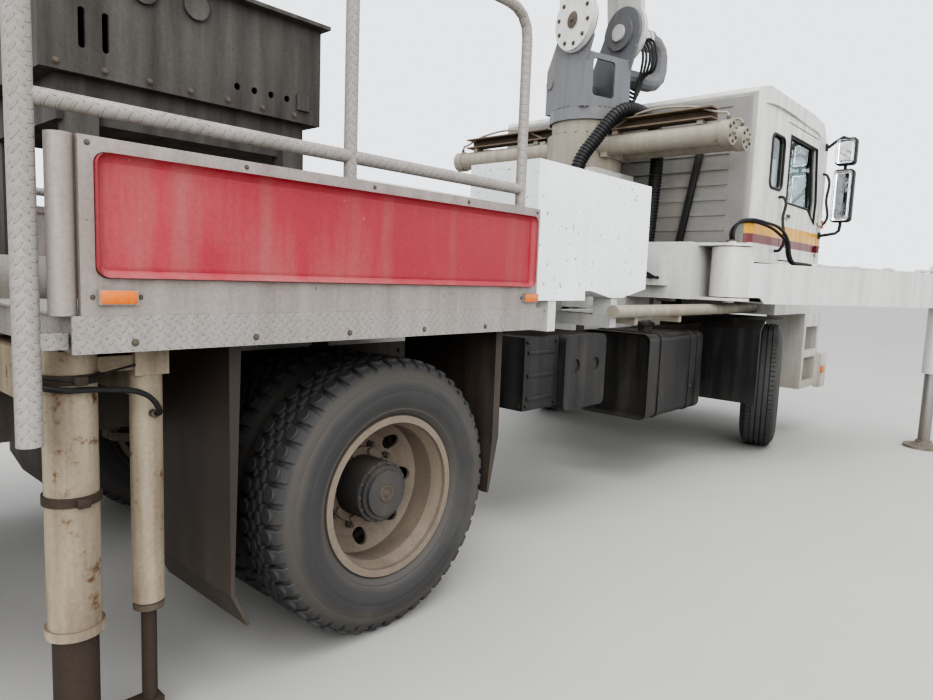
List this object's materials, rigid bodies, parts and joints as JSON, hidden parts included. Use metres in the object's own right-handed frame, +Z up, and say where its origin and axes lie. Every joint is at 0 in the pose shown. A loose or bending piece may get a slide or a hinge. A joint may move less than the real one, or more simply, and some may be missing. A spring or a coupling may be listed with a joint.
{
  "type": "concrete pump truck",
  "caption": "Concrete pump truck on its outriggers, with a folded boom raised from a slewing column, side decks, hopper and jointed legs, doors, wheels and boom arms.",
  "frame": {"origin": "on the ground, midway between the bumper's front and the hopper's back, on the truck's middle plane", "axes": "+X forwards, +Y to the truck's left, +Z up"},
  "size_m": [8, 4.4238, 8.6323],
  "materials": {
    "frame_grey": "dusty satin",
    "machine_white": "weathered satin",
    "cab_white": "semi-gloss",
    "rim_beige": "matt, muddy",
    "tyre": "matt",
    "glass": "clear",
    "black_plastic": "matt",
    "seat_cloth": "matt",
    "tank_steel": "satin",
    "tank_white": "semi-gloss",
    "panel_aluminium": "dull",
    "deck_steel": "worn grey",
    "leg_cream": "matt, rusty",
    "leg_steel": "rust-brown",
    "jack_steel": "satin",
    "chrome_rod": "bright",
    "rest_grey": "sooty matt",
    "pump_grey": "worn",
    "hopper_grey": "concrete-caked",
    "pipe_cream": "rusty satin",
    "rubber_hose": "matt"
  },
  "bodies": {
    "truck": {"chassis_frame": "frame_grey", "pump_subframe": "machine_white", "front_axle": "frame_grey", "rear_axle": "frame_grey", "engine_block": "frame_grey", "cab_shell": "cab_white", "cab_glass": "glass", "cab_seats": "seat_cloth", "front_bumper": "cab_white", "cab_mirrors": "black_plastic", "mudguards": "black_plastic", "fuel_tank": "tank_steel", "battery_box": "black_plastic", "air_tanks": "tank_steel", "side_tanks": "tank_white", "side_panels": "panel_aluminium", "deck_and_rails": "deck_steel", "ladder": "deck_steel", "rear_leg_guides": "leg_cream", "slew_drive": "leg_cream", "boom_rest": "rest_grey", "pump_unit": "pump_grey", "hopper": "hopper_grey", "delivery_line": "pipe_cream", "hydraulic_hoses": "rubber_hose"},
    "knuckle_left": {"knuckle_left": "frame_grey"},
    "front_wheel_left": {"front_tyre_left": "tyre", "front_rim_left": "rim_beige"},
    "rear_wheels_left": {"rear_tyres_left": "tyre", "rear_rims_left": "rim_beige"},
    "door_left": {"cab_door_left": "cab_white", "door_glass_left": "glass"},
    "rear_leg_left": {"rear_leg_left": "leg_steel"},
    "outrigger_left": {"outrigger_left": "machine_white"},
    "front_jack_left": {"front_jack_left": "jack_steel"},
    "knuckle_right": {"knuckle_right": "frame_grey"},
    "front_wheel_right": {"front_tyre_right": "tyre", "front_rim_right": "rim_beige"},
    "rear_wheels_right": {"rear_tyres_right": "tyre", "rear_rims_right": "rim_beige"},
    "door_right": {"cab_door_right": "cab_white", "door_glass_right": "glass"},
    "rear_leg_right": {"rear_leg_right": "leg_steel"},
    "outrigger_right": {"outrigger_right": "machine_white"},
    "front_jack_right": {"front_jack_right": "jack_steel"},
    "turret": {"turret": "machine_white"},
    "luff_barrel": {"luff_barrel": "machine_white"},
    "luff_rod": {"luff_rod": "chrome_rod"},
    "boom_arm_1": {"boom_arm_1": "machine_white"},
    "fold_rod_1": {"fold_rod_1": "chrome_rod"},
    "boom_arm_2": {"boom_arm_2": "machine_white"},
    "fold_rod_2": {"fold_rod_2": "chrome_rod"},
    "boom_arm_3": {"boom_arm_3": "machine_white"},
    "hopper_grate": {"hopper_grate": "hopper_grey"},
    "agitator": {"agitator": "hopper_grey"}
  },
  "joints": [
    {"name": "steer_left", "type": "hinge", "parent": "truck", "child": "knuckle_left", "pos_m": [2.7, 0.85, 0.508], "axis": [0, 0, 1], "range_deg": [-56, 20]},
    {"name": "front_wheel_spin_left", "type": "hinge", "parent": "knuckle_left", "child": "front_wheel_left", "pos_m": [2.64592, 1.01643, 0.508], "axis": [-0.309, 0.9511, 0], "continuous": true},
    {"name": "rear_wheels_spin_left", "type": "hinge", "parent": "truck", "child": "rear_wheels_left", "pos_m": [-1.5, 1.048, 0.508], "axis": [0, 1, 0], "continuous": true},
    {"name": "door_swing_left", "type": "hinge", "parent": "truck", "child": "door_left", "pos_m": [3.45, 1.166, 1.8], "axis": [0, 0, -1], "range_deg": [0, 70]},
    {"name": "outrigger_swing_left", "type": "hinge", "parent": "truck", "child": "outrigger_left", "pos_m": [1.7, 1.09, 1.4], "axis": [0, 0, -1], "range_deg": [-155, 0]},
    {"name": "front_jack_slide_left", "type": "slide", "parent": "outrigger_left", "child": "front_jack_left", "axis": [0, 0, -1], "range_m": [-0.45, 0.1]},
    {"name": "rear_leg_slide_left", "type": "slide", "parent": "truck", "child": "rear_leg_left", "axis": [0, 0, -1], "range_m": [-0.25, 0.1]},
    {"name": "steer_right", "type": "hinge", "parent": "truck", "child": "knuckle_right", "pos_m": [2.7, -0.85, 0.508], "axis": [0, 0, 1], "range_deg": [-56, 20]},
    {"name": "front_wheel_spin_right", "type": "hinge", "parent": "knuckle_right", "child": "front_wheel_right", "pos_m": [2.75408, -1.01643, 0.508], "axis": [-0.309, 0.9511, 0], "continuous": true},
    {"name": "rear_wheels_spin_right", "type": "hinge", "parent": "truck", "child": "rear_wheels_right", "pos_m": [-1.5, -1.048, 0.508], "axis": [0, 1, 0], "continuous": true},
    {"name": "door_swing_right", "type": "hinge", "parent": "truck", "child": "door_right", "pos_m": [3.45, -1.166, 1.8], "axis": [0, 0, 1], "range_deg": [0, 70]},
    {"name": "outrigger_swing_right", "type": "hinge", "parent": "truck", "child": "outrigger_right", "pos_m": [1.7, -1.09, 1.4], "axis": [0, 0, 1], "range_deg": [-155, 0]},
    {"name": "front_jack_slide_right", "type": "slide", "parent": "outrigger_right", "child": "front_jack_right", "axis": [0, 0, -1], "range_m": [-0.45, 0.1]},
    {"name": "rear_leg_slide_right", "type": "slide", "parent": "truck", "child": "rear_leg_right", "axis": [0, 0, -1], "range_m": [-0.25, 0.1]},
    {"name": "boom_slew", "type": "hinge", "parent": "truck", "child": "turret", "pos_m": [1.43, 0, 2.5], "axis": [0, 0, -1], "range_deg": [-107, 253]},
    {"name": "boom_luff", "type": "hinge", "parent": "turret", "child": "boom_arm_1", "pos_m": [1.39491, -0.11476, 3.18], "axis": [0.9563, -0.2924, 0], "range_deg": [-89, 4]},
    {"name": "luff_barrel_swing", "type": "hinge", "parent": "turret", "child": "luff_barrel", "pos_m": [1.48263, 0.17214, 2.8], "axis": [0.9563, -0.2924, 0], "range_deg": [-79, 4]},
    {"name": "luff_rod_slide", "type": "slide", "parent": "luff_barrel", "child": "luff_rod", "axis": [-0.0037, -0.012, 0.9999], "range_m": [-0.66, 0.04]},
    {"name": "boom_fold_1", "type": "hinge", "parent": "boom_arm_1", "child": "boom_arm_2", "pos_m": [1.48811, 0.19008, 8.17404], "axis": [-0.9563, 0.2924, 0], "range_deg": [0, 160]},
    {"name": "fold_rod_1_slide", "type": "slide", "parent": "boom_arm_1", "child": "fold_rod_1", "axis": [-0.0226, -0.074, 0.997], "range_m": [-0.83, 0.01]},
    {"name": "boom_fold_2", "type": "hinge", "parent": "boom_arm_2", "child": "boom_arm_3", "pos_m": [1.25072, -0.58641, 4.03624], "axis": [0.9563, -0.2924, 0], "range_deg": [0, 160]},
    {"name": "fold_rod_2_slide", "type": "slide", "parent": "boom_arm_2", "child": "fold_rod_2", "axis": [-0.0728, -0.2381, -0.9685], "range_m": [-0.64, 0.01]},
    {"name": "grate_lift", "type": "hinge", "parent": "truck", "child": "hopper_grate", "pos_m": [-2.79, 0, 1.516], "axis": [0, 1, 0], "range_deg": [0, 100]},
    {"name": "agitator_spin", "type": "hinge", "parent": "truck", "child": "agitator", "pos_m": [-3.38, 0, 1.03], "axis": [0, 1, 0], "continuous": true}
  ],
  "couplings": [
    {"joint": "steer_right", "follows": "steer_left", "ratio": 1},
    {"joint": "luff_barrel_swing", "follows": "boom_luff", "ratio": 0.8736},
    {"joint": "luff_rod_slide", "follows": "boom_luff", "m_per_rad": 0.4153},
    {"joint": "fold_rod_1_slide", "follows": "boom_fold_1", "m_per_rad": -0.2961},
    {"joint": "fold_rod_2_slide", "follows": "boom_fold_2", "m_per_rad": -0.2251}
  ]
}
